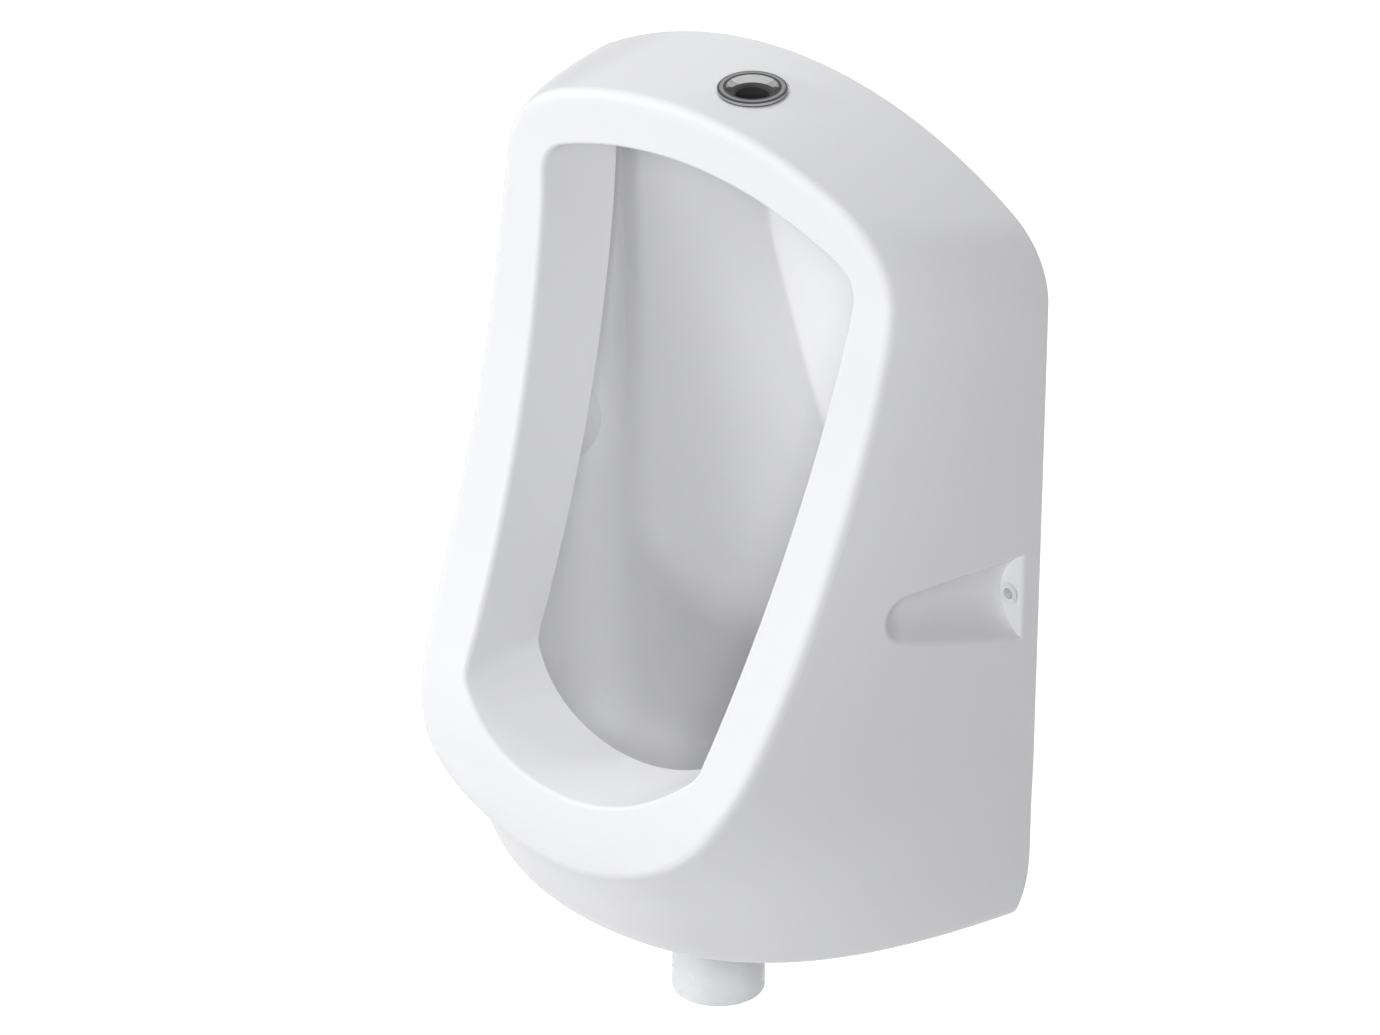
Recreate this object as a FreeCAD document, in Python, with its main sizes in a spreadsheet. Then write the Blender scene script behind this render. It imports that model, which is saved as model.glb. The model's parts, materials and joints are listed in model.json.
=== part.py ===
"""Wall-hung urinal with a top flush inlet and a bottom outlet.

Millimetres, +Z up, the wall at Y = 0 and the bowl in front of it at negative Y.
The origin is on the wall, half way between the two fixing holes.
"""
import FreeCAD, Part
import Sketcher
import math
import os

Vec = FreeCAD.Vector
doc = FreeCAD.newDocument("urinal")
sheet = doc.addObject("Spreadsheet::Sheet", "sizes")

SIZES = {
    # Plan sections of the ceramic body: level, half width at the wall, reach from the wall
    "underside_drop": 205.0, "foot_half_width": 147.0, "foot_reach": 157.0,
    "keel_drop": 173.0, "keel_half_width": 158.5, "keel_reach": 184.0,
    "lip_drop": 146.0, "lip_half_width": 160.0, "lip_reach": 199.6,
    "jowl_drop": 115.0, "jowl_half_width": 161.7, "jowl_reach": 236.0,
    "belly_drop": 85.0, "belly_half_width": 162.7, "belly_reach": 274.0,
    "chest_rise": 80.0, "chest_half_width": 168.0, "chest_reach": 200.0,
    "crown_above_deck": 30.0, "crown_half_width": 174.5, "crown_reach": 126.0,
    # Deck over the top
    "deck_rise": 260.0, "deck_radius": 277.0, "shoulder_round": 50.0, "foot_round": 14.0,
    # Side profile of the front: upright, two bends forward, and one back to an upright lip
    "rim_top_reach": 88.0, "rim_bend_below_deck": 47.0,
    "upper_bend_radius": 245.0, "lower_bend_radius": 800.0, "lip_bend_radius": 108.0, "rim_round": 6.0,
    # Mouth of the bowl
    "brow_height": 33.5, "mouth_top_radius": 250.0, "mouth_top_half_width": 115.8,
    "mouth_drop": 107.0, "mouth_bottom_radius": 119.0, "mouth_bottom_half_width": 80.5,
    "mouth_top_corner": 19.0, "mouth_bottom_corner": 13.0, "mouth_round": 2.5,
    # Ceramic walls and the return behind the mouth
    "wall": 11.0, "back_wall": 12.0, "floor_thickness": 18.0, "bowl_round": 24.0,
    "return_wall": 10.0, "return_depth": 57.0, "return_top_depth": 12.0, "return_notch_height": 21.5,
    # Relief panel on the back
    "relief_depth": 2.5, "relief_half_width": 118.0, "relief_below_deck": 75.0, "relief_drop": 150.0,
    "relief_corner": 30.0,
    # Side recesses with the fixing lugs
    "lug_thickness": 12.0, "recess_radius": 28.5, "recess_nose_radius": 20.0, "recess_length": 96.0,
    "recess_standoff": 11.8, "recess_round": 3.0,
    "fixing_half_spacing": 155.0, "lug_hole_radius": 4.6,
    "sleeve_radius": 4.4, "sleeve_bore_radius": 3.2, "sleeve_flange_radius": 6.1,
    "sleeve_flange_thickness": 1.2,
    # Flush inlet in the deck
    "inlet_setback": 46.0, "inlet_hole_radius": 16.0, "deck_seat_radius": 20.0, "deck_seat_depth": 0.3,
    "collar_flange_radius": 18.9, "collar_flange_thickness": 2.0, "collar_radius": 15.0,
    "collar_length": 30.0, "collar_mouth_radius": 14.2, "collar_recess_radius": 12.6,
    "collar_recess_depth": 6.0, "collar_bore_radius": 11.0, "collar_edge": 0.7,
    "collar_gasket_radius": 18.3, "collar_gasket_thickness": 0.8,
    "pipe_seal_flange_thickness": 2.0, "pipe_seal_length": 15.0, "flush_pipe_radius": 9.0,
    "ceiling_seat_radius": 27.0, "deck_gasket_radius": 24.0, "deck_gasket_thickness": 3.0,
    "slip_washer_thickness": 1.5, "locknut_across_flats": 42.0, "locknut_height": 8.0,
    "spreader_radius": 18.5, "spreader_overlap": 4.0, "spreader_height": 20.0,
    "spreader_floor_thickness": 3.0, "spreader_bore_radius": 12.5, "spreader_washer_thickness": 1.5,
    "spreader_port_width": 6.0, "spreader_port_height": 7.0,
    # Waste in the floor of the bowl
    "waste_setback": 72.0, "waste_hole_radius": 22.5, "waste_seat_depth": 6.0, "waste_seat_radius": 40.0,
    "waste_sump_radius": 62.0, "waste_seal_thickness": 2.0, "waste_seal_radius": 36.0,
    "waste_flange_radius": 38.0, "waste_flange_thickness": 4.0, "waste_tail_radius": 21.0,
    "waste_bore_radius": 18.0, "waste_tail_below": 36.0, "waste_edge": 0.8,
    "strainer_radius": 33.0, "strainer_thickness": 2.0, "strainer_dome_radius": 120.0,
    "strainer_skirt_radius": 17.4, "strainer_skirt_wall": 1.4, "strainer_skirt_length": 5.0,
    "strainer_hole_radius": 2.4, "strainer_inner_circle": 5.8, "strainer_outer_circle": 12.6,
    "lower_seal_radius": 33.0, "lower_seal_thickness": 3.0, "waste_washer_thickness": 2.0,
    "backnut_across_flats": 60.0, "backnut_height": 10.0,
    # Outlet pipe under the bowl
    "outlet_radius": 25.0, "outlet_drop": 272.0, "outlet_bore_radius": 22.2,
    "outlet_shoulder": 3.0, "outlet_seal_thickness": 2.0, "outlet_edge": 1.0,
    # Fits
    "slide_clearance": 0.3, "thread_clearance": 0.2, "overrun": 20.0,
}

# Fall of the deck towards the front, as a share of its length
DECK_FALL_SHARE = 0.026

# Levels that follow the deck, so that a taller or lower body keeps its brow
LEVELS = {
    "inlet_seat_rise": (
        f"deck_rise - ( inlet_setback + deck_seat_radius ) * {DECK_FALL_SHARE} - deck_seat_depth"),
    "crown_rise": "deck_rise + crown_above_deck",
    "rim_bend_rise": "deck_rise - rim_bend_below_deck",
    "mouth_rise": "deck_rise - brow_height",
    "return_notch_rise": "deck_rise - brow_height - return_notch_height",
    "relief_rise": "deck_rise - relief_below_deck",
}

# Shape of a plan section, as shares of its own half width and reach
SIDE_SLOPE_SHARE = 0.20
SIDE_PULL_SHARE = 0.60
NOSE_PULL_SHARE = 0.62
# Lean of the recess towards the middle and its rise towards the nose, as shares of its length
RECESS_LEAN_SHARE = 0.23
RECESS_RISE_SHARE = 0.12
# Slopes of the front where the bends end
UPPER_BEND_ANGLE = math.radians(11.3)
LOWER_BEND_ANGLE = math.radians(30.1)
# Radii to try for a rounded edge, as shares of its own
ROUND_SHARES = (1, 0.98, 1.02, 0.95, 1.05, 0.9)
# How much of a direction lies along an axis for it to count as that axis
MOSTLY = math.cos(math.pi / 4)
SECTION_COUNT = 16
NUT_SIDES = 6
SPREADER_PORTS = 6
STRAINER_INNER_HOLES = 6
STRAINER_OUTER_HOLES = 12


def fill_sheet():
    """One row a size: its name, its number or formula, and the alias that the features use."""
    cells = {name: str(number) for name, number in SIZES.items()}
    cells.update({name: f"={text}" for name, text in LEVELS.items()})
    for row, (name, content) in enumerate(cells.items(), start=1):
        sheet.set(f"A{row}", name)
        sheet.set(f"B{row}", content)
        sheet.setAlias(f"B{row}", name)
    doc.recompute()


fill_sheet()


def size(name):
    return float(sheet.get(name))


def formula(text):
    """Puts the sheet's name in front of each size in a formula."""
    words = []
    for word in text.split():
        words.append(f"sizes.{word}" if word in SIZES or word in LEVELS else word)
    return " ".join(words)


def number(text):
    return float(sheet.evalExpression(formula(text)))


def bind(feature, **properties):
    for name, text in properties.items():
        feature.setExpression(name.replace("__", "."), formula(text))


# Ceramic body

def side_poles(level, half_width, reach, inset, side):
    """Poles of a plan section's one half: a flared side that rounds into the nose."""
    half = half_width - inset
    nose = reach - inset
    pull = SIDE_PULL_SHARE * nose
    return [
        Vec(side * half, 0, level),
        Vec(side * (half - SIDE_SLOPE_SHARE * pull), -pull, level),
        Vec(side * NOSE_PULL_SHARE * half, -nose, level),
        Vec(0, -nose, level),
    ]


def driving_sections():
    """Level, half width and reach of the sections that the sheet gives, from the foot up."""
    rows = []
    for name, level in (
        ("foot", -size("underside_drop")),
        ("keel", -size("keel_drop")),
        ("lip", -size("lip_drop")),
        ("jowl", -size("jowl_drop")),
        ("belly", -size("belly_drop")),
        ("chest", size("chest_rise")),
        ("crown", size("crown_rise")),
    ):
        rows.append((level, size(f"{name}_half_width"), size(f"{name}_reach")))
    return rows


def smooth_value(levels, values, level):
    """A cubic through the values that never swings past them."""
    steps = []
    for index in range(len(levels) - 1):
        steps.append((values[index + 1] - values[index]) / (levels[index + 1] - levels[index]))
    slopes = [steps[0]]
    for below, above in zip(steps, steps[1:]):
        slopes.append(2 * below * above / (below + above) if below * above > 0 else 0)
    slopes.append(steps[-1])
    index = max(i for i in range(len(steps)) if i == 0 or levels[i] <= level)
    span = levels[index + 1] - levels[index]
    share = (level - levels[index]) / span
    rest = 1 - share
    return (
        values[index] * rest ** 2 * (1 + 2 * share)
        + values[index + 1] * share ** 2 * (1 + 2 * rest)
        + span * share * rest * (slopes[index] * rest - slopes[index + 1] * share)
    )


def section_table():
    """Evenly spaced sections worked out from the driving ones."""
    levels, halves, reaches = zip(*driving_sections())
    rows = []
    for index in range(SECTION_COUNT):
        level = levels[0] + (levels[-1] - levels[0]) * index / (SECTION_COUNT - 1)
        rows.append((level, smooth_value(levels, halves, level), smooth_value(levels, reaches, level)))
    return rows


def side_skin(inset, side):
    """One side's surface, smooth through the sections, and its edge along the wall line."""
    rows = section_table()
    levels = [row[0] for row in rows]
    columns = zip(*[side_poles(*row, inset, side) for row in rows])
    rails = []
    for column in columns:
        rail = Part.BSplineCurve()
        rail.interpolate(Points=list(column), Parameters=levels)
        rails.append(rail)
    poles = [rail.getPoles() for rail in rails]
    ends = [len(poles), len(poles)]
    knots = rails[0].getKnots()
    counts = rails[0].getMultiplicities()
    surface = Part.BSplineSurface()
    surface.buildFromPolesMultsKnots(
        poles, ends, counts, [0, 1], knots, False, False, len(poles) - 1, rails[0].Degree)
    return surface.toShape(), rails[0].toShape()


def skin_solid(inset):
    """The two sides closed at foot and crown, with a stub behind the wall line."""
    stub = Vec(0, size("overrun"), 0)
    left, left_edge = side_skin(inset, -1)
    right, right_edge = side_skin(inset, 1)
    back = Part.makeRuledSurface(left_edge.translated(stub), right_edge.translated(stub))
    faces = [left, right, back, left_edge.extrude(stub), right_edge.extrude(stub)]
    rows = section_table()
    for row in (rows[0], rows[-1]):
        curves = []
        for side in (-1, 1):
            curve = Part.BezierCurve()
            curve.setPoles(side_poles(*row, inset, side))
            curves.append(curve.toShape())
        corners = [side_poles(*row, inset, side)[0] for side in (-1, 1)]
        lines = [Part.makeLine(corner, corner + stub) for corner in corners]
        lines.append(Part.makeLine(corners[0] + stub, corners[1] + stub))
        faces.append(Part.Face(Part.Wire(Part.__sortEdges__(curves + lines))))
    shell = Part.makeShell(faces)
    shell.sewShape()
    solid = Part.makeSolid(shell)
    if solid.Volume < 0:
        solid.reverse()
    return solid


def extent():
    """A length beyond the whole body, for the cutting prisms."""
    return size("belly_reach") + size("deck_rise") + size("underside_drop")


def prism_along_y(edges):
    """Extrudes an outline in the XZ plane far to both sides of the wall line."""
    face = Part.Face(Part.Wire(edges))
    far = extent()
    face.translate(Vec(0, far, 0))
    return face.extrude(Vec(0, -2 * far, 0))


def arched_prism(apex, radius, limit):
    """Everything on the limit's side of an arch that spans the body."""
    side = math.copysign(1, apex - limit)
    span = min(radius, size("crown_half_width") + size("overrun"))
    sag = radius - math.sqrt(radius ** 2 - span ** 2)
    shoulder = apex - side * sag
    arc = Part.Arc(Vec(-span, 0, shoulder), Vec(0, 0, apex), Vec(span, 0, shoulder)).toShape()
    return prism_along_y([
        arc,
        Part.makeLine(Vec(span, 0, shoulder), Vec(span, 0, limit)),
        Part.makeLine(Vec(span, 0, limit), Vec(-span, 0, limit)),
        Part.makeLine(Vec(-span, 0, limit), Vec(-span, 0, shoulder)),
    ])


def front_bends(shift):
    """The front's side profile, moved back by the shift: each bend as three points in the YZ plane."""
    here = Vec(0, shift - size("rim_top_reach"), size("rim_bend_rise"))
    lean = 0
    bends = []
    for name, next_lean in (("upper", UPPER_BEND_ANGLE), ("lower", LOWER_BEND_ANGLE), ("lip", 0)):
        radius = math.copysign(size(f"{name}_bend_radius"), next_lean - lean)
        points = [here]
        for angle in ((lean + next_lean) / 2, next_lean):
            forward = radius * (math.cos(lean) - math.cos(angle))
            down = radius * (math.sin(angle) - math.sin(lean))
            points.append(here - Vec(0, forward, down))
        bends.append(points)
        here = points[-1]
        lean = next_lean
    return bends


def behind_front(shift, back):
    """Everything between the front profile, moved back by the shift, and the plane Y = back."""
    bends = front_bends(shift)
    start = bends[0][0]
    end = bends[-1][-1]
    far = extent()
    head = Vec(0, start.y, far)
    foot = Vec(0, end.y, -far)
    back_bottom = Vec(0, back, -far)
    back_top = Vec(0, back, far)
    edges = [Part.makeLine(head, start)]
    edges += [Part.Arc(*points).toShape() for points in bends]
    edges += [
        Part.makeLine(end, foot),
        Part.makeLine(foot, back_bottom),
        Part.makeLine(back_bottom, back_top),
        Part.makeLine(back_top, head),
    ]
    face = Part.Face(Part.Wire(edges))
    face.translate(Vec(-far, 0, 0))
    return face.extrude(Vec(2 * far, 0, 0))


def shared_edges(shape, first, second):
    """Edges where a face that passes the first test meets one that passes the second."""
    found = []
    for edge in shape.Edges:
        faces = shape.ancestorsOfType(edge, Part.Face)
        if len(faces) != 2:
            continue
        if (first(faces[0]) and second(faces[1])) or (first(faces[1]) and second(faces[0])):
            found.append(edge)
    return found


def is_round(face, radius):
    surface = face.Surface
    return surface.TypeId == "Part::GeomCylinder" and math.isclose(surface.Radius, radius)


def is_side(face):
    return face.Surface.TypeId == "Part::GeomBSplineSurface"


def is_flat(face):
    return face.Surface.TypeId == "Part::GeomPlane"


def is_level(face):
    return is_flat(face) and abs(face.normalAt(0, 0).z) > MOSTLY


def is_back(face):
    return is_flat(face) and face.normalAt(0, 0).y > MOSTLY


def is_front(face):
    if is_flat(face):
        return face.normalAt(0, 0).y < -MOSTLY
    return any(is_round(face, size(f"{name}_bend_radius")) for name in ("upper", "lower", "lip"))


def is_mouth_wall(face):
    """True of a wall that runs straight back along Y."""
    if is_flat(face):
        return abs(face.normalAt(0, 0).x) > MOSTLY
    return face.Surface.TypeId == "Part::GeomCylinder" and abs(face.Surface.Axis.y) > MOSTLY


def is_recess(face):
    """True of a fixing recess's round walls and of the lug at its end."""
    if is_flat(face):
        return math.isclose(face.CenterOfMass.y, -size("lug_thickness"))
    return face.Surface.TypeId in ("Part::GeomCone", "Part::GeomSphere")


def starts_on(edge, skin):
    start = Part.Vertex(edge.valueAt(edge.FirstParameter))
    return skin.distToShape(start)[0] < size("thread_clearance")


def filleted(shape, radius, edges, finish=lambda result: result):
    """Rounds the edges; where the kernel fails at that very radius, it takes one close by."""
    for share in ROUND_SHARES:
        try:
            result = finish(shape.makeFillet(share * radius, edges))
        except Part.OCCError:
            continue
        if result.isValid():
            return result
    raise RuntimeError(f"no fillet near {radius} holds")


def envelope(inset, back, bottom):
    """The body's outer form, or the space inside its walls where an inset is given."""
    solid = skin_solid(inset)
    deck_radius = size("deck_radius") - inset
    apex = size("deck_rise") - inset
    deck = arched_prism(apex, deck_radius, -extent())
    deck.rotate(Vec(0, 0, apex), Vec(1, 0, 0), math.degrees(math.atan(DECK_FALL_SHARE)))
    solid = solid.common(deck).common(upper_half_space(bottom))
    solid = solid.common(half_space_in_front(back)).cut(brow_block())
    shoulders = shared_edges(solid, lambda face: is_round(face, deck_radius), is_side)
    front = behind_front(inset, back)
    radius = size("shoulder_round") - inset
    return filleted(solid, radius, shoulders, lambda form: form.common(front)).Solids[0]


def brow_block():
    """What stands forward of the top of the rim, so that the shoulders end on one upright plane."""
    far = extent()
    front = -size("rim_top_reach") - size("overrun")
    level = size("rim_bend_rise") - size("shoulder_round") - size("overrun")
    return Part.makeBox(2 * far, far, far, Vec(-far, front - far, level))


def mouth_prism(grow):
    """The outline of the bowl's mouth, run straight back along Y."""
    top = size("mouth_rise") + grow
    bottom = -size("mouth_drop") - grow
    half_top = size("mouth_top_half_width") + grow
    half_bottom = size("mouth_bottom_half_width") + grow
    corners = [
        Vec(-half_top, 0, top),
        Vec(half_top, 0, top),
        Vec(half_bottom, 0, bottom),
        Vec(-half_bottom, 0, bottom),
    ]
    edges = [Part.makeLine(corners[index - 1], corners[index]) for index in range(len(corners))]
    solid = prism_along_y(edges)
    solid = solid.common(arched_prism(top, size("mouth_top_radius") + grow, -extent()))
    solid = solid.common(arched_prism(bottom, size("mouth_bottom_radius") + grow, extent())).Solids[0]
    for name in ("top", "bottom"):
        arch_radius = size(f"mouth_{name}_radius") + grow
        corner_edges = shared_edges(solid, lambda face: is_round(face, arch_radius), is_mouth_wall)
        solid = filleted(solid, size(f"mouth_{name}_corner") + grow, corner_edges)
    return solid.Solids[0]


def upper_half_space(level):
    far = extent()
    return Part.makeBox(2 * far, 2 * far, 2 * far, Vec(-far, -far, level))


def half_space_in_front(plane_y):
    far = extent()
    return Part.makeBox(2 * far, far, 2 * far, Vec(-far, plane_y - far, -far))


def return_block():
    """The band behind the mouth, cut back above so that it clears the flush inlet."""
    block = mouth_prism(size("return_wall"))
    block = block.common(behind_front(0, 0)).cut(behind_front(size("return_depth"), size("overrun")))
    far = extent()
    front = size("return_top_depth") - size("rim_top_reach")
    notch = Part.makeBox(2 * far, far, far, Vec(-far, front, size("return_notch_rise")))
    return block.cut(notch)


def recess_bullet(side, grow):
    """A round-nosed cone beside the body, big end at the wall, leaning in with the side."""
    radius = size("recess_radius") + grow
    nose = size("recess_nose_radius") + grow
    centre = size("recess_length") - size("recess_nose_radius")
    taper = math.acos(nose / math.hypot(radius, centre)) - math.atan2(centre, radius)
    middle = (taper + math.pi / 2) / 2
    joint = Vec(centre + nose * math.sin(taper), nose * math.cos(taper), 0)
    bend = Vec(centre + nose * math.sin(middle), nose * math.cos(middle), 0)
    tip = Vec(centre + nose, 0, 0)
    tail = -size("lug_thickness") - size("overrun")
    tail_rim = Vec(tail, radius - tail * math.tan(taper), 0)
    outline = Part.Wire([
        Part.Arc(tip, bend, joint).toShape(),
        Part.makeLine(joint, tail_rim),
        Part.makeLine(tail_rim, Vec(tail, 0, 0)),
        Part.makeLine(Vec(tail, 0, 0), tip),
    ])
    bullet = Part.Face(outline).revolve(Vec(0, 0, 0), Vec(1, 0, 0), 360)
    levels, halves, _ = zip(*driving_sections())
    half = smooth_value(levels, halves, 0) + size("recess_standoff")
    heading = Vec(-side * RECESS_LEAN_SHARE, -1, RECESS_RISE_SHARE)
    bullet.Placement = FreeCAD.Placement(
        Vec(side * half, -size("lug_thickness"), 0), FreeCAD.Rotation(Vec(1, 0, 0), heading))
    return bullet


def upright_cylinder(radius, y, low, high):
    return Part.makeCylinder(radius, high - low, Vec(0, y, low))


def relief_panel():
    """The shallow panel that keeps the middle of the back off the wall."""
    half = size("relief_half_width")
    height = size("relief_rise") + size("relief_drop")
    depth = size("relief_depth")
    box = Part.makeBox(2 * half, depth + size("overrun"), height, Vec(-half, -depth, -size("relief_drop")))
    edges = [edge for edge in box.Edges if abs(edge.tangentAt(edge.FirstParameter).y) > MOSTLY]
    return box.makeFillet(size("relief_corner"), edges)


def bowl_space(outer):
    """The hollow of the bowl: inside the walls, round the return and round the recess bumps."""
    wall = size("wall")
    floor = size("floor_thickness") - size("underside_drop")
    space = envelope(wall, -size("back_wall"), floor)
    floor_edges = []
    for edge in space.Edges:
        if any(is_level(face) for face in space.ancestorsOfType(edge, Part.Face)):
            floor_edges.append(edge)
    corners = shared_edges(space, is_back, is_side)
    space = filleted(space, size("bowl_round"), floor_edges + corners)
    space = space.cut(return_block())
    for side in (-1, 1):
        space = space.cut(recess_bullet(side, wall).common(outer))
    return space


def ceramic_body():
    outer = envelope(0, 0, -extent())
    under = shared_edges(outer, is_level, is_side)
    outer = filleted(outer, size("foot_round"), under)
    rim = [edge for edge in outer.Edges
           if sum(is_front(face) for face in outer.ancestorsOfType(edge, Part.Face)) == 1]
    outer = filleted(outer, size("rim_round"), rim).Solids[0]

    body = outer
    for side in (-1, 1):
        body = body.cut(recess_bullet(side, 0).common(half_space_in_front(-size("lug_thickness"))))
    body = body.Solids[0]
    body = filleted(body, size("recess_round"), shared_edges(body, is_side, is_recess))

    pocket = mouth_prism(0).cut(behind_front(size("return_depth") + size("wall"), size("overrun")))
    body = body.cut(pocket).Solids[0]
    skin = outer.Shells[0]
    mouth = [edge for edge in shared_edges(body, is_front, is_mouth_wall) if starts_on(edge, skin)]
    body = filleted(body, size("mouth_round"), mouth)

    body = body.cut(bowl_space(outer))
    for side in (-1, 1):
        start = Vec(side * size("fixing_half_spacing"), size("overrun"), 0)
        depth = 2 * size("overrun") + size("lug_thickness")
        body = body.cut(Part.makeCylinder(size("lug_hole_radius"), depth, start, Vec(0, -1, 0)))
    body = body.cut(relief_panel())

    deck = size("deck_rise")
    inlet_y = -size("inlet_setback")
    seat = size("inlet_seat_rise")
    ceiling = deck - size("wall")
    above = deck + size("overrun")
    below = ceiling - size("wall")
    body = body.cut(upright_cylinder(size("inlet_hole_radius"), inlet_y, below, above))
    body = body.cut(upright_cylinder(size("deck_seat_radius"), inlet_y, seat, above))
    body = body.cut(upright_cylinder(size("ceiling_seat_radius"), inlet_y, below, ceiling))

    waste_y = -size("waste_setback")
    floor = size("floor_thickness") - size("underside_drop")
    waste_seat = floor - size("waste_seat_depth")
    body = body.cut(upright_cylinder(size("waste_hole_radius"), waste_y, -extent(), floor))
    sump = Part.makeCone(size("waste_seat_radius"), size("waste_sump_radius"), size("waste_seat_depth"),
                         Vec(0, waste_y, waste_seat))
    return body.cut(sump).Solids[0]


def add_ceramic_body():
    body = doc.addObject("Part::Feature", "urinal_body")
    body.Label = "urinal_body"
    body.Shape = ceramic_body()
    body.Placement = FreeCAD.Placement()
    return body


# Turned and cut pieces

def origin_item(body, role):
    return next(item for item in body.Origin.OriginFeatures if item.Role == role)


def pin_point(sketch, line, kind, text):
    """Holds one end of a profile line at a formula's distance from the piece's own axis or foot."""
    here = number(text)
    if math.isclose(here, 0, abs_tol=1e-9):
        axis = -2 if kind == "DistanceX" else -1
        sketch.addConstraint(Sketcher.Constraint("PointOnObject", line, 1, axis))
        return
    index = sketch.addConstraint(Sketcher.Constraint(kind, -1, 1, line, 1, here))
    name = f"{kind.lower()}_{line}"
    sketch.renameConstraint(index, name)
    sketch.setExpression(f"Constraints.{name}", formula(text))


def turned(label, setback, level, profile):
    """A body of revolution: its profile is a list of radius and height formulas above its level."""
    body = doc.addObject("PartDesign::Body", label)
    body.Label = label
    sketch = body.newObject("Sketcher::SketchObject", f"{label}_profile")
    sketch.AttachmentSupport = [(origin_item(body, "XZ_Plane"), "")]
    sketch.MapMode = "FlatFace"
    points = [Vec(number(radius), number(height), 0) for radius, height in profile]
    for index, point in enumerate(points):
        sketch.addGeometry(Part.LineSegment(point, points[(index + 1) % len(points)]))
    for index in range(len(points)):
        sketch.addConstraint(Sketcher.Constraint("Coincident", index, 2, (index + 1) % len(points), 1))
    for index, (radius, height) in enumerate(profile):
        pin_point(sketch, index, "DistanceX", radius)
        pin_point(sketch, index, "DistanceY", height)
    doc.recompute()
    turn = body.newObject("PartDesign::Revolution", f"{label}_turn")
    turn.Profile = sketch
    turn.ReferenceAxis = (sketch, ["V_Axis"])
    turn.Angle = 360
    bind(body, Placement__Base__y=f"0 - {setback}", Placement__Base__z=level)
    doc.recompute()
    return body


def ring(label, setback, level, bore, radius, height):
    return turned(label, setback, level, [(bore, "0"), (radius, "0"), (radius, height), (bore, height)])


def cylinder(label, radius, height, setback, level):
    feature = doc.addObject("Part::Cylinder", label)
    bind(feature, Radius=radius, Height=height)
    bind(feature, Placement__Base__y=f"0 - {setback}", Placement__Base__z=level)
    return feature


def boolean(kind, label, base, tool):
    feature = doc.addObject(f"Part::{kind}", label)
    feature.Label = label
    feature.Base = base
    feature.Tool = tool
    doc.recompute()
    return feature


def hex_nut(label, setback, level, across_flats, height, bore):
    """A six-sided nut whose corners are turned off at both faces."""
    prism = doc.addObject("Part::Prism", f"{label}_blank")
    prism.Polygon = NUT_SIDES
    corner = f"( {across_flats} ) / ( 2 * cos( 180 deg / {NUT_SIDES} ) )"
    bind(prism, Circumradius=corner, Height=height)
    bind(prism, Placement__Base__y=f"0 - {setback}", Placement__Base__z=level)
    lathe = ring(f"{label}_round", setback, level, bore, f"( {corner} + {across_flats} / 2 ) / 2", height)
    doc.recompute()
    return boolean("Common", label, prism, lathe)


def add_inlet():
    """Collar through the deck, clamped from below, with the pipe seal inside and the spreader under it."""
    setback = "inlet_setback"
    seat = "inlet_seat_rise"
    ceiling = "deck_rise - wall"
    top = f"{seat} + collar_gasket_thickness"
    clear = "collar_radius + thread_clearance"
    ring("collar_gasket", setback, seat, clear, "collar_gasket_radius", "collar_gasket_thickness")

    foot = "deck_rise - collar_length"
    flange = f"{top} - ( {foot} )"
    crest = f"{flange} + collar_flange_thickness"
    shelf = f"{crest} - collar_recess_depth"
    turned("inlet_collar", setback, foot, [
        ("collar_bore_radius", "0"),
        ("collar_radius - collar_edge", "0"),
        ("collar_radius", "collar_edge"),
        ("collar_radius", flange),
        ("collar_flange_radius", flange),
        ("collar_flange_radius", f"{crest} - collar_edge"),
        ("collar_flange_radius - collar_edge", crest),
        ("collar_mouth_radius", crest),
        ("collar_recess_radius", f"{shelf} + pipe_seal_flange_thickness"),
        ("collar_recess_radius", shelf),
        ("collar_bore_radius", shelf),
    ])
    seal_radius = "collar_bore_radius - thread_clearance / 2"
    seal_flange = "collar_recess_radius - thread_clearance / 2"
    seal_top = "pipe_seal_length + pipe_seal_flange_thickness"
    turned("flush_pipe_seal", setback, f"{foot} + {shelf} - pipe_seal_length", [
        ("flush_pipe_radius", "0"),
        (seal_radius, "0"),
        (seal_radius, "pipe_seal_length"),
        (seal_flange, "pipe_seal_length"),
        (seal_flange, seal_top),
        ("flush_pipe_radius + pipe_seal_flange_thickness / 2", seal_top),
        ("flush_pipe_radius", f"{seal_top} - pipe_seal_flange_thickness / 2"),
    ])
    gasket = f"{ceiling} - deck_gasket_thickness"
    ring("deck_gasket", setback, gasket, clear, "deck_gasket_radius", "deck_gasket_thickness")
    washer = f"{gasket} - slip_washer_thickness"
    ring("slip_washer", setback, washer, clear, "deck_gasket_radius", "slip_washer_thickness")
    nut = f"{washer} - locknut_height"
    hex_nut("inlet_locknut", setback, nut, "locknut_across_flats", "locknut_height", clear)
    add_spreader(setback, foot, clear)


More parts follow.
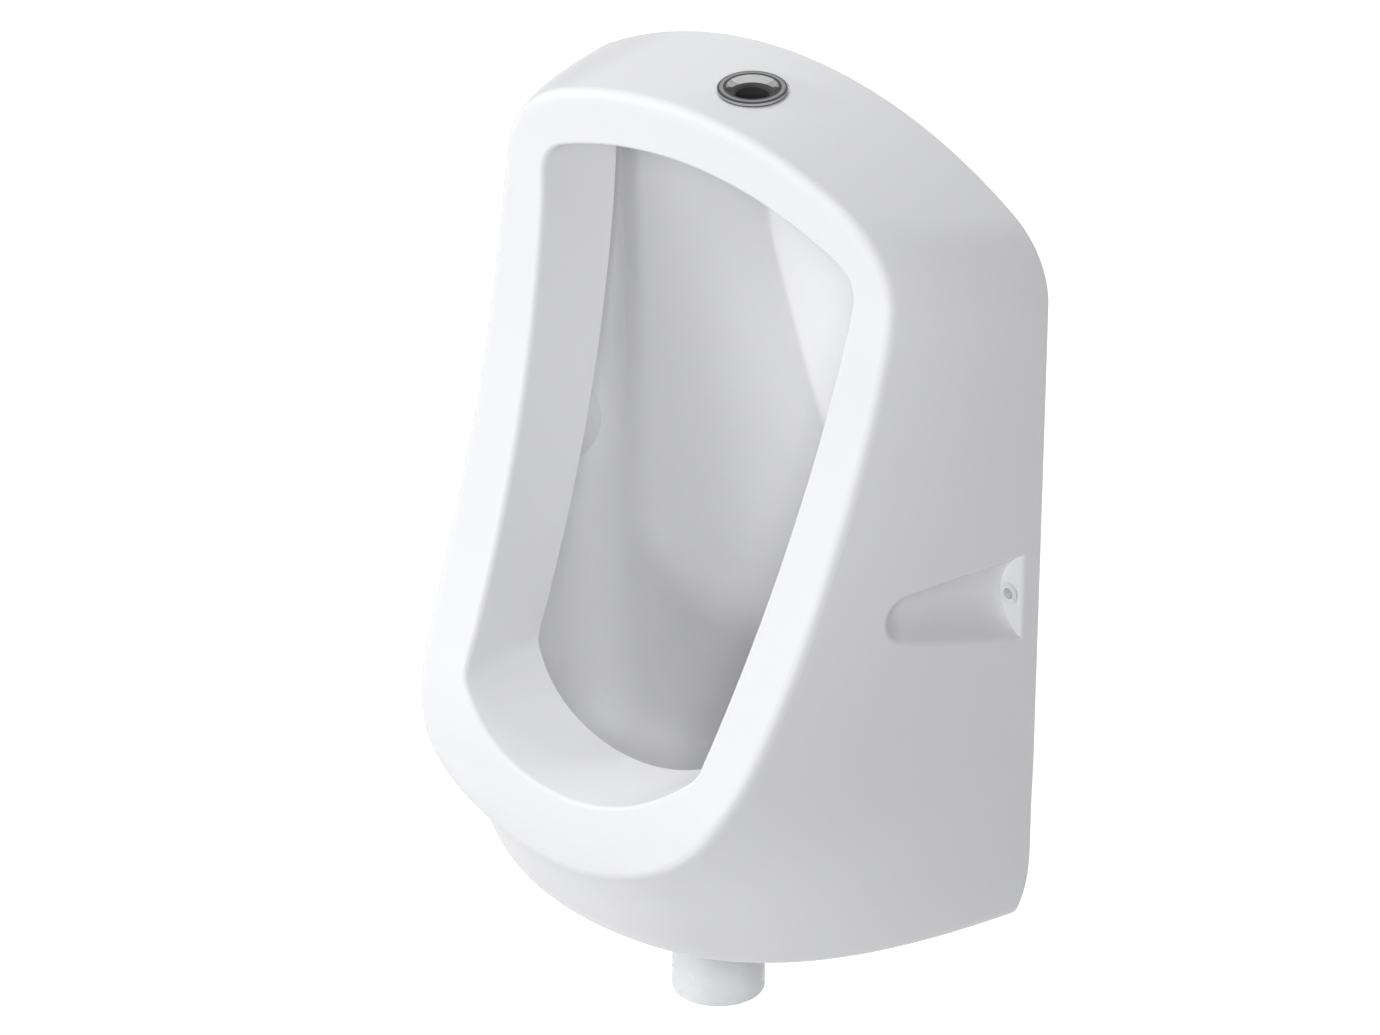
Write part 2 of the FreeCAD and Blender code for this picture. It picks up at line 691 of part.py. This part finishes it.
def add_spreader(setback, foot, clear):
    """A cap screwed on the collar's tail, with ports all round that throw the water outwards."""
    level = f"{foot} + spreader_overlap - spreader_height"
    socket = "spreader_height - spreader_overlap - spreader_washer_thickness"
    washer = f"{foot} - spreader_washer_thickness"
    thickness = "spreader_washer_thickness"
    ring("spreader_washer", setback, washer, "collar_bore_radius", "collar_radius", thickness)
    cap = turned("spreader", setback, level, [
        ("0", "0"),
        ("spreader_radius", "0"),
        ("spreader_radius", "spreader_height"),
        (clear, "spreader_height"),
        (clear, socket),
        ("spreader_bore_radius", socket),
        ("spreader_bore_radius", "spreader_floor_thickness"),
        ("0", "spreader_floor_thickness"),
    ])
    sketch = cap.newObject("Sketcher::SketchObject", "spreader_port_outline")
    sketch.AttachmentSupport = [(origin_item(cap, "XZ_Plane"), "")]
    sketch.MapMode = "FlatFace"
    half = number("spreader_port_width / 2")
    low = number("spreader_floor_thickness")
    high = number("spreader_floor_thickness + spreader_port_height")
    corners = [Vec(-half, low, 0), Vec(half, low, 0), Vec(half, high, 0), Vec(-half, high, 0)]
    for index, corner in enumerate(corners):
        sketch.addGeometry(Part.LineSegment(corner, corners[(index + 1) % len(corners)]))
    for index in range(len(corners)):
        sketch.addConstraint(Sketcher.Constraint("Coincident", index, 2, (index + 1) % len(corners), 1))
    for index, (across, height) in enumerate((
        ("0 - spreader_port_width / 2", "spreader_floor_thickness"),
        ("spreader_port_width / 2", "spreader_floor_thickness"),
        ("spreader_port_width / 2", "spreader_floor_thickness + spreader_port_height"),
        ("0 - spreader_port_width / 2", "spreader_floor_thickness + spreader_port_height"),
    )):
        pin_point(sketch, index, "DistanceX", across)
        pin_point(sketch, index, "DistanceY", height)
    doc.recompute()
    whole = cap.Shape.Volume
    port = cap.newObject("PartDesign::Pocket", "spreader_port")
    port.Profile = sketch
    port.Type = "Length"
    port.Reversed = True
    bind(port, Length="spreader_radius + overrun")
    doc.recompute()
    if cap.Shape.Volume >= whole:
        port.Reversed = False
        doc.recompute()
    pattern = cap.newObject("PartDesign::PolarPattern", "spreader_ports")
    pattern.Originals = [port]
    pattern.Axis = (origin_item(cap, "Z_Axis"), [""])
    pattern.Angle = 360
    pattern.Occurrences = SPREADER_PORTS
    cap.Tip = pattern
    doc.recompute()


def add_waste():
    """Flanged waste through the floor of the bowl, clamped below, with the pipe screwed on its tail."""
    setback = "waste_setback"
    underside = "0 - underside_drop"
    seat = f"{underside} + floor_thickness - waste_seat_depth"
    clear = "waste_tail_radius + thread_clearance"
    ring("waste_seal", setback, seat, clear, "waste_seal_radius", "waste_seal_thickness")

    foot = f"{underside} - waste_tail_below"
    flange = f"{seat} + waste_seal_thickness - ( {foot} )"
    crest = f"{flange} + waste_flange_thickness"
    shelf = f"{crest} - strainer_thickness"
    turned("waste_flange", setback, foot, [
        ("waste_bore_radius", "0"),
        ("waste_tail_radius - waste_edge", "0"),
        ("waste_tail_radius", "waste_edge"),
        ("waste_tail_radius", flange),
        ("waste_flange_radius", flange),
        ("waste_flange_radius", f"{crest} - waste_edge"),
        ("waste_flange_radius - waste_edge", crest),
        ("strainer_radius + slide_clearance", crest),
        ("strainer_radius + slide_clearance", shelf),
        ("waste_bore_radius", shelf),
    ])
    add_strainer(setback, f"{foot} + {shelf}")

    seal = f"{underside} - lower_seal_thickness"
    ring("lower_waste_seal", setback, seal, clear, "lower_seal_radius", "lower_seal_thickness")
    washer = f"{seal} - waste_washer_thickness"
    ring("waste_washer", setback, washer, clear, "lower_seal_radius", "waste_washer_thickness")
    nut = f"{washer} - backnut_height"
    hex_nut("waste_backnut", setback, nut, "backnut_across_flats", "backnut_height", clear)

    pipe_seal = f"{foot} - outlet_seal_thickness"
    thickness = "outlet_seal_thickness"
    ring("outlet_seal", setback, pipe_seal, "waste_bore_radius", "waste_tail_radius", thickness)
    end = "0 - outlet_drop"
    socket = f"{pipe_seal} - ( {end} )"
    rib = f"{socket} - outlet_shoulder"
    turned("outlet_pipe", setback, end, [
        ("outlet_bore_radius", "0"),
        ("outlet_radius - outlet_edge / 2", "0"),
        ("outlet_radius", "outlet_edge"),
        ("outlet_radius", f"{nut} - ( {end} )"),
        (clear, f"{nut} - ( {end} )"),
        (clear, socket),
        ("waste_bore_radius", socket),
        ("waste_bore_radius", rib),
        ("outlet_bore_radius", f"{rib} - outlet_bore_radius + waste_bore_radius"),
    ])


def add_strainer(setback, level):
    """A lift-out domed strainer: a seat ring, a pierced dome and a skirt that keeps it in place."""
    dome = doc.addObject("Part::Sphere", "strainer_dome")
    hollow = doc.addObject("Part::Sphere", "strainer_hollow")
    drop = "sqrt( pow( strainer_dome_radius ; 2 ) - pow( strainer_radius ; 2 ) )"
    centre = f"{level} + strainer_thickness - {drop}"
    inside = "strainer_dome_radius - strainer_thickness"
    for sphere, radius in ((dome, "strainer_dome_radius"), (hollow, inside)):
        bind(sphere, Radius=radius, Placement__Base__y=f"0 - {setback}", Placement__Base__z=centre)
    shell = boolean("Cut", "strainer_shell", dome, hollow)
    plug = cylinder("strainer_plug", "strainer_radius", "strainer_radius", setback, level)
    cap = boolean("Common", "strainer_cap", shell, plug)
    bore = "strainer_skirt_radius - strainer_skirt_wall"
    seat = ring("strainer_seat", setback, level, bore, "strainer_radius", "strainer_thickness")
    skirt_foot = f"{level} - strainer_skirt_length"
    skirt_height = "strainer_skirt_length + strainer_thickness"
    skirt = ring("strainer_skirt", setback, skirt_foot, bore, "strainer_skirt_radius", skirt_height)
    blank = boolean("Fuse", "strainer_blank", boolean("Fuse", "strainer_rim", seat, skirt), cap)
    drills = []
    for count, circle in (
        (STRAINER_INNER_HOLES, "strainer_inner_circle"),
        (STRAINER_OUTER_HOLES, "strainer_outer_circle"),
    ):
        for index in range(count):
            turn = f"( 360 deg * {index} / {count} )"
            drill = cylinder(f"strainer_drill_{count}_{index}", "strainer_hole_radius", "strainer_radius",
                             f"( {setback} + {circle} * cos( {turn} ) )", level)
            bind(drill, Placement__Base__x=f"{circle} * sin( {turn} )")
            drills.append(drill)
    holes = doc.addObject("Part::MultiFuse", "strainer_holes")
    holes.Shapes = drills
    boolean("Cut", "waste_strainer", blank, holes)


def add_fixing_sleeves():
    """Nylon sleeves that keep the wall screws off the ceramic, one in each lug."""
    for side, label in ((-1, "fixing_sleeve_left"), (1, "fixing_sleeve_right")):
        place = f"{side} * fixing_half_spacing"
        parts = []
        for suffix, radius, height in (
            ("barrel", "sleeve_radius", "lug_thickness"),
            ("flange", "sleeve_flange_radius", "sleeve_flange_thickness"),
            ("bore", "sleeve_bore_radius", "lug_thickness + 2 * sleeve_flange_thickness"),
        ):
            feature = doc.addObject("Part::Cylinder", f"{label}_{suffix}")
            bind(feature, Radius=radius, Height=height, Placement__Base__x=place)
            feature.Placement.Rotation = FreeCAD.Rotation(Vec(1, 0, 0), 90)
            parts.append(feature)
        barrel, flange, bore = parts
        bind(flange, Placement__Base__y="0 - lug_thickness")
        bind(bore, Placement__Base__y="sleeve_flange_thickness / 2")
        doc.recompute()
        boolean("Cut", label, boolean("Fuse", f"{label}_blank", barrel, flange), bore)


PIECES = [
    "urinal_body",
    "inlet_collar", "collar_gasket", "flush_pipe_seal", "deck_gasket", "slip_washer", "inlet_locknut",
    "spreader", "spreader_washer",
    "waste_flange", "waste_seal", "waste_strainer", "lower_waste_seal", "waste_washer", "waste_backnut",
    "outlet_seal", "outlet_pipe",
    "fixing_sleeve_left", "fixing_sleeve_right",
]


def checked_pieces():
    """The finished pieces, once every object of the document is sound."""
    doc.recompute()
    for item in doc.Objects:
        if "Invalid" in item.State or "Error" in item.State:
            raise RuntimeError(f"{item.Name} failed: {item.State}")
    pieces = []
    for label in PIECES:
        shape = doc.getObjectsByLabel(label)[0].Shape
        if shape.isNull() or not shape.isValid() or not shape.Solids:
            raise RuntimeError(f"{label} has no sound shape")
        pieces.append((label, shape))
    return pieces


add_ceramic_body()
add_inlet()
add_waste()
add_fixing_sleeves()
os.makedirs("parts", exist_ok=True)
for node, shape in checked_pieces():
    shape.exportStep(f"parts/{node}.step")
    print(node, len(shape.Solids), round(shape.Volume))
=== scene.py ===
"""Looks of the wall-hung urinal: materials, soft studio light and the photo's camera, in metres."""
import json
import math

import bpy
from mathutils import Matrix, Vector


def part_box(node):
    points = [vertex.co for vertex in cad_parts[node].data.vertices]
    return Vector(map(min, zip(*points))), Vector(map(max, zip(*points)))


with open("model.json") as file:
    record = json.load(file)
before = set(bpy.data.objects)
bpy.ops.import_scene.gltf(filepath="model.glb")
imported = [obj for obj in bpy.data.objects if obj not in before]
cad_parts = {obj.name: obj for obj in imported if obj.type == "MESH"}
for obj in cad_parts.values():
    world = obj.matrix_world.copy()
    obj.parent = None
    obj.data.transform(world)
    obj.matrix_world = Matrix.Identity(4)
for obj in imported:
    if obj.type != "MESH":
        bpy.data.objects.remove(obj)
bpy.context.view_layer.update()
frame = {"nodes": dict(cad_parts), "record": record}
scene = bpy.context.scene

# Camera: a long lens at the photo's viewing angle
CAMERA_AZIMUTH = math.radians(43.0)
CAMERA_ELEVATION = math.radians(28.2)
LOOK_AT = Vector((0.0, -0.0944, 0.021))
FRAME_WIDTH = 0.734
LENS_MM = 800.0
SENSOR_MM = 36.0
CAMERA_DISTANCE = FRAME_WIDTH * LENS_MM / SENSOR_MM
CLIP_END = 4 * CAMERA_DISTANCE

# Floor: as far below as under a urinal hung at the usual height
FLOOR_LEVEL = -0.75
FLOOR_SIZE = 40.0
# Distance from the part in metres, and the glow that the camera sees there
FLOOR_GLOW = ((0.5, 0.45), (0.8, 0.72), (2.0, 0.85), (4.0, 1.0))
REFLECTED_GLOW = 0.45

# World: the light it gives, and how bright it is to each kind of ray
WORLD_LIGHT = 0.05
WORLD_SEEN = (("Is Glossy Ray", 0.78), ("Is Transmission Ray", 1.0), ("Is Camera Ray", 1.0))

# Lamps: name, place, width and watts
DAYLIGHT = (0.980, 0.985, 1.0)
SOFTBOXES = (
    ("right_front", (2.5, -2.7, 1.95), 0.8, 60.0),
    ("left_key", (-3.0, -2.5, 0.8), 0.1, 52.0),
    ("left_top", (-2.0, -2.4, 3.0), 1.6, 37.0),
    ("left_back", (-2.6, 0.6, 3.0), 1.6, 44.0),
    ("front_low", (0.9, -3.7, -0.7), 1.0, 31.0),
    ("overhead", (0.0, -0.6, 4.0), 1.6, 27.0),
    ("back", (0.4, 3.9, 1.0), 1.6, 24.0),
)

# The two tones that each finish drifts between
GLAZE_TONES = ((0.917, 0.917, 0.922), (0.927, 0.927, 0.932))
CHROME_TONES = ((0.82, 0.825, 0.83), (0.90, 0.905, 0.91))
RUBBER_TONES = ((0.03, 0.029, 0.029), (0.045, 0.044, 0.043))
NYLON_TONES = ((0.84, 0.84, 0.83), (0.88, 0.88, 0.87))
BRASS_TONES = ((0.42, 0.29, 0.12), (0.53, 0.38, 0.17))
STEEL_TONES = ((0.62, 0.62, 0.62), (0.67, 0.67, 0.665))
PIPE_TONES = ((0.915, 0.919, 0.940), (0.924, 0.928, 0.948))
FLOOR_TONES = ((0.67, 0.67, 0.67), (0.69, 0.69, 0.69))
# The dark that chrome's bands blend towards; on the inlet collar it paints reflections and shade
CHROME_DARK = (0.03, 0.03, 0.032)
RUBBER_DUST = (0.07, 0.07, 0.07)

# Chrome: distance from the axis in metres, and how much of the plate's tone is left there against
# the dark
PLAIN_PLATE = ((0.0, 0.62), (0.04, 0.52))
# On the inlet collar: painted reflections and painted shade, with a light mouth, dark edges and
# grey flats
COLLAR_PAINTED_REFLECTIONS = (
    (0.0100, 0.80), (0.0141, 0.80), (0.0142, 0.05), (0.0155, 0.05), (0.0157, 0.38), (0.0174, 0.38),
    (0.0177, 0.08), (0.0188, 0.08), (0.01885, 0.58), (0.0200, 0.58),
)

# Most of a noise texture's values lie in this range
NOISE_RANGE = (0.3, 0.7)
# Pointiness just past flat, and at a sharp outer edge
EDGE_RANGE = (0.52, 0.62)


# Node helpers

class Nodes:
    """A small builder for one material's node tree."""

    def __init__(self, name):
        self.material = bpy.data.materials.new(name)
        self.material.use_nodes = True
        self.tree = self.material.node_tree
        self.shader = self.tree.nodes["Principled BSDF"]
        self.place = self.add("ShaderNodeTexCoord").outputs["Object"]

    def add(self, kind, **settings):
        node = self.tree.nodes.new(kind)
        for name, value in settings.items():
            setattr(node, name, value)
        return node

    def link(self, source, target):
        self.tree.links.new(source, target)

    def set(self, **values):
        """Constant values straight on the shader's own sockets."""
        for name, value in values.items():
            socket = name.replace("_", " ").title().replace("Ior", "IOR")
            self.shader.inputs[socket].default_value = value

    def mapped(self, centre_y=0.0, scale=(1.0, 1.0, 1.0)):
        """The object's coordinates, counted from an upright axis and scaled."""
        mapping = self.add("ShaderNodeMapping")
        mapping.inputs["Location"].default_value = (0.0, -centre_y, 0.0)
        mapping.inputs["Scale"].default_value = scale
        self.link(self.place, mapping.inputs["Vector"])
        return mapping.outputs["Vector"]

    def noise(self, scale, detail=3.0, stretch=(1.0, 1.0, 1.0)):
        texture = self.add("ShaderNodeTexNoise")
        texture.inputs["Scale"].default_value = scale
        texture.inputs["Detail"].default_value = detail
        self.link(self.mapped(scale=stretch), texture.inputs["Vector"])
        return texture.outputs["Fac"]

    def rings(self, centre_y, scale, distortion=0.4):
        """Fine rings about an upright axis, as turning or spinning leaves them."""
        wave = self.add("ShaderNodeTexWave", wave_type="RINGS", rings_direction="Z")
        wave.inputs["Scale"].default_value = scale
        wave.inputs["Distortion"].default_value = distortion
        self.link(self.mapped(centre_y), wave.inputs["Vector"])
        return wave.outputs["Fac"]

    def bands(self, centre_y, stops):
        """Shades by distance from an upright axis, in metres, from one stop to the next."""
        length = self.add("ShaderNodeVectorMath", operation="LENGTH")
        self.link(self.mapped(centre_y, scale=(1.0, 1.0, 0.0)), length.inputs[0])
        first, last = stops[0][0], stops[-1][0]
        ramp = self.add("ShaderNodeValToRGB")
        self.link(self.spread(length.outputs["Value"], source=(first, last)), ramp.inputs["Fac"])
        elements = ramp.color_ramp.elements
        while len(elements) < len(stops):
            elements.new(0.5)
        for element, (radius, shade) in zip(elements, stops):
            element.position = (radius - first) / (last - first)
            element.color = (shade, shade, shade, 1.0)
        return ramp.outputs["Color"]

    def math(self, operation, first, second):
        node = self.add("ShaderNodeMath", operation=operation)
        self.link(first, node.inputs[0])
        if isinstance(second, float):
            node.inputs[1].default_value = second
        else:
            self.link(second, node.inputs[1])
        return node.outputs["Value"]

    def spread(self, fac, low=0.0, high=1.0, source=NOISE_RANGE):
        """Maps a source range onto low to high."""
        node = self.add("ShaderNodeMapRange")
        for name, value in zip(("From Min", "From Max", "To Min", "To Max"), (*source, low, high)):
            node.inputs[name].default_value = value
        self.link(fac, node.inputs["Value"])
        return node.outputs["Result"]

    def blend(self, fac, first, second):
        """Mixes two colours, each a tuple or a socket, by a factor."""
        node = self.add("ShaderNodeMix", data_type="RGBA")
        self.link(fac, node.inputs["Factor"])
        for value, target in ((first, node.inputs["A"]), (second, node.inputs["B"])):
            if isinstance(value, tuple):
                target.default_value = (*value, 1.0)
            else:
                self.link(value, target)
        return node.outputs["Result"]

    def cloud(self, tones, scale, detail=3.0):
        """Drifts between two tones."""
        return self.blend(self.spread(self.noise(scale, detail)), *tones)

    def edges(self):
        """0 on flats and hollows, 1 on outer edges."""
        pointiness = self.add("ShaderNodeNewGeometry").outputs["Pointiness"]
        return self.spread(pointiness, source=EDGE_RANGE)

    def bump(self, height, distance):
        node = self.add("ShaderNodeBump")
        node.inputs["Distance"].default_value = distance
        self.link(height, node.inputs["Height"])
        return node.outputs["Normal"]

    def finish(self, color, roughness, normal):
        self.link(color, self.shader.inputs["Base Color"])
        self.link(roughness, self.shader.inputs["Roughness"])
        self.link(normal, self.shader.inputs["Normal"])
        return self.material


# Materials

def glazed_ceramic():
    """White vitreous china: a faintly cloudy white under a clear glaze with slow waves."""
    nodes = Nodes("glazed_ceramic")
    nodes.set(coat_weight=0.5, coat_roughness=0.02, specular_ior_level=0.2)
    color = nodes.cloud(GLAZE_TONES, scale=9.0)
    roughness = nodes.spread(nodes.noise(scale=20.0), low=0.3, high=0.4)
    waves = nodes.bump(nodes.noise(scale=14.0, detail=0.0), distance=0.0004)
    return nodes.finish(color, roughness, waves)


def chrome(centre_y, stops=PLAIN_PLATE):
    """Polished plate over turned brass, faintly hazed, and darker in bands about its axis; on the
    inlet collar the bands are painted reflections and painted shade.
    """
    nodes = Nodes("chrome")
    nodes.set(metallic=1.0)
    plate = nodes.cloud(CHROME_TONES, scale=160.0)
    # On the inlet collar the bands paint reflections and shade into the plate's colour
    color = nodes.blend(nodes.bands(centre_y, stops), CHROME_DARK, plate)
    roughness = nodes.spread(nodes.noise(scale=70.0), low=0.05, high=0.1)
    turned = nodes.bump(nodes.rings(centre_y, scale=300.0), distance=0.000002)
    return nodes.finish(color, roughness, turned)


def rubber():
    """Black moulded rubber, dusty on its edges."""
    nodes = Nodes("rubber")
    color = nodes.blend(nodes.edges(), nodes.cloud(RUBBER_TONES, scale=120.0), RUBBER_DUST)
    roughness = nodes.spread(nodes.noise(scale=200.0), low=0.5, high=0.68)
    grain = nodes.bump(nodes.noise(scale=900.0), distance=0.00006)
    return nodes.finish(color, roughness, grain)


def nylon():
    """Natural nylon, milky with a moulded bloom."""
    nodes = Nodes("nylon")
    nodes.set(subsurface_weight=0.15, subsurface_scale=0.002)
    color = nodes.cloud(NYLON_TONES, scale=90.0)
    roughness = nodes.spread(nodes.noise(scale=150.0), low=0.38, high=0.52)
    grain = nodes.bump(nodes.noise(scale=700.0), distance=0.00003)
    return nodes.finish(color, roughness, grain)


def brass(centre_y):
    """Turned brass that has begun to darken."""
    nodes = Nodes("brass")
    nodes.set(metallic=1.0)
    color = nodes.cloud(BRASS_TONES, scale=80.0, detail=5.0)
    roughness = nodes.spread(nodes.noise(scale=140.0), low=0.22, high=0.4)
    turned = nodes.bump(nodes.rings(centre_y, scale=200.0), distance=0.000006)
    return nodes.finish(color, roughness, turned)


def steel(centre_y):
    """Spun stainless steel with a ringed grain."""
    nodes = Nodes("steel")
    nodes.set(metallic=1.0)
    grain = nodes.rings(centre_y, scale=120.0, distortion=0.1)
    color = nodes.blend(grain, *STEEL_TONES)
    roughness = nodes.spread(nodes.noise(scale=60.0), low=0.22, high=0.3)
    return nodes.finish(color, roughness, nodes.bump(grain, distance=0.000003))


def white_plastic():
    """Drawn white pipe: smooth, with faint lines along its length."""
    nodes = Nodes("white_plastic")
    nodes.set(coat_weight=0.3, coat_roughness=0.15, specular_ior_level=0.3)
    lines = nodes.noise(scale=70.0, detail=1.0, stretch=(1.0, 1.0, 0.03))
    color = nodes.blend(nodes.spread(lines), *PIPE_TONES)
    roughness = nodes.spread(nodes.noise(scale=40.0), low=0.24, high=0.3)
    return nodes.finish(color, roughness, nodes.bump(lines, distance=0.00001))


def middle_y(node):
    low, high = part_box(node)
    return (low.y + high.y) / 2


def dress_nodes():
    """Gives each CAD node the material of its slot, turned about the nearer of the two axes."""
    inlet_y = middle_y("inlet_collar")
    waste_y = middle_y("waste_flange")
    finishes = {
        "glazed_ceramic": glazed_ceramic(),
        "rubber": rubber(),
        "nylon": nylon(),
        "white_plastic": white_plastic(),
        # The collar's bands are painted reflections and painted shade
        "inlet_collar": chrome(inlet_y, COLLAR_PAINTED_REFLECTIONS),
    }
    turned = {
        ("chrome", inlet_y): chrome(inlet_y),
        ("chrome", waste_y): chrome(waste_y),
        ("brass", inlet_y): brass(inlet_y),
        ("brass", waste_y): brass(waste_y),
        ("steel", waste_y): steel(waste_y),
    }
    for part in frame["record"]["subparts"]:
        node, slot = part["node"], part["material_slot"]
        axis = min((inlet_y, waste_y), key=lambda y: abs(y - middle_y(node)))
        finish = finishes.get(node) or finishes.get(slot) or turned[(slot, axis)]
        data = frame["nodes"][node].data
        data.materials.clear()
        data.materials.append(finish)


# Stage

def add_camera():
    direction = Vector((
        math.sin(CAMERA_AZIMUTH) * math.cos(CAMERA_ELEVATION),
        -math.cos(CAMERA_AZIMUTH) * math.cos(CAMERA_ELEVATION),
        math.sin(CAMERA_ELEVATION),
    ))
    data = bpy.data.cameras.new("camera")
    data.lens = LENS_MM
    data.sensor_width = SENSOR_MM
    data.clip_end = CLIP_END
    camera = bpy.data.objects.new("camera", data)
    camera.location = LOOK_AT + CAMERA_DISTANCE * direction
    camera.rotation_euler = (-direction).to_track_quat("-Z", "Y").to_euler()
    scene.collection.objects.link(camera)
    scene.camera = camera


def lift_to_white(nodes):
    """Adds a glow to what the camera and reflections see of a lit surface.

    The camera sees less of it near the part, so the shadow there stays.
    """
    path = nodes.add("ShaderNodeLightPath").outputs
    seen = nodes.math("MULTIPLY", path["Is Camera Ray"], nodes.bands(0.0, FLOOR_GLOW))
    mirrored = nodes.math("MAXIMUM", path["Is Glossy Ray"], path["Is Transmission Ray"])
    strength = nodes.math("ADD", seen, nodes.math("MULTIPLY", mirrored, REFLECTED_GLOW))
    glow = nodes.add("ShaderNodeEmission")
    nodes.link(strength, glow.inputs["Strength"])
    both = nodes.add("ShaderNodeAddShader")
    nodes.link(nodes.shader.outputs["BSDF"], both.inputs[0])
    nodes.link(glow.outputs["Emission"], both.inputs[1])
    nodes.link(both.outputs["Shader"], nodes.tree.nodes["Material Output"].inputs["Surface"])


def pale_floor():
    """A plain matt floor, a little uneven."""
    nodes = Nodes("floor")
    color = nodes.cloud(FLOOR_TONES, scale=2.0)
    roughness = nodes.spread(nodes.noise(scale=5.0), low=0.7, high=0.8)
    uneven = nodes.bump(nodes.noise(scale=30.0), distance=0.0002)
    lift_to_white(nodes)
    return nodes.finish(color, roughness, uneven)


def add_floor():
    half = FLOOR_SIZE / 2
    corners = [(x * half, y * half, FLOOR_LEVEL) for x, y in ((-1, -1), (1, -1), (1, 1), (-1, 1))]
    mesh = bpy.data.meshes.new("floor")
    mesh.from_pydata(corners, [], [(0, 1, 2, 3)])
    mesh.materials.append(pale_floor())
    floor = bpy.data.objects.new("floor", mesh)
    scene.collection.objects.link(floor)


def add_world():
    """A dim even light that reads as a pale room in reflections and as white behind the object."""
    world = bpy.data.worlds.new("studio")
    world.use_nodes = True
    tree = world.node_tree
    path = tree.nodes.new("ShaderNodeLightPath").outputs
    light = tree.nodes["Background"]
    light.inputs["Color"].default_value = (1.0, 1.0, 1.0, 1.0)
    light.inputs["Strength"].default_value = WORLD_LIGHT
    seen = light.outputs["Background"]
    for ray, strength in WORLD_SEEN:
        backdrop = tree.nodes.new("ShaderNodeBackground")
        backdrop.inputs["Color"].default_value = (1.0, 1.0, 1.0, 1.0)
        backdrop.inputs["Strength"].default_value = strength
        mix = tree.nodes.new("ShaderNodeMixShader")
        tree.links.new(path[ray], mix.inputs["Fac"])
        tree.links.new(seen, mix.inputs[1])
        tree.links.new(backdrop.outputs["Background"], mix.inputs[2])
        seen = mix.outputs["Shader"]
    tree.links.new(seen, tree.nodes["World Output"].inputs["Surface"])
    scene.world = world


def add_softbox(name, place, width, watts):
    data = bpy.data.lights.new(name, "AREA")
    data.size = width
    data.energy = watts
    data.color = DAYLIGHT
    lamp = bpy.data.objects.new(name, data)
    lamp.location = place
    lamp.rotation_euler = (LOOK_AT - Vector(place)).to_track_quat("-Z", "Y").to_euler()
    lamp.visible_glossy = False
    scene.collection.objects.link(lamp)


dress_nodes()
add_camera()
add_floor()
add_world()
for softbox in SOFTBOXES:
    add_softbox(*softbox)
scene.view_settings.view_transform = "Standard"
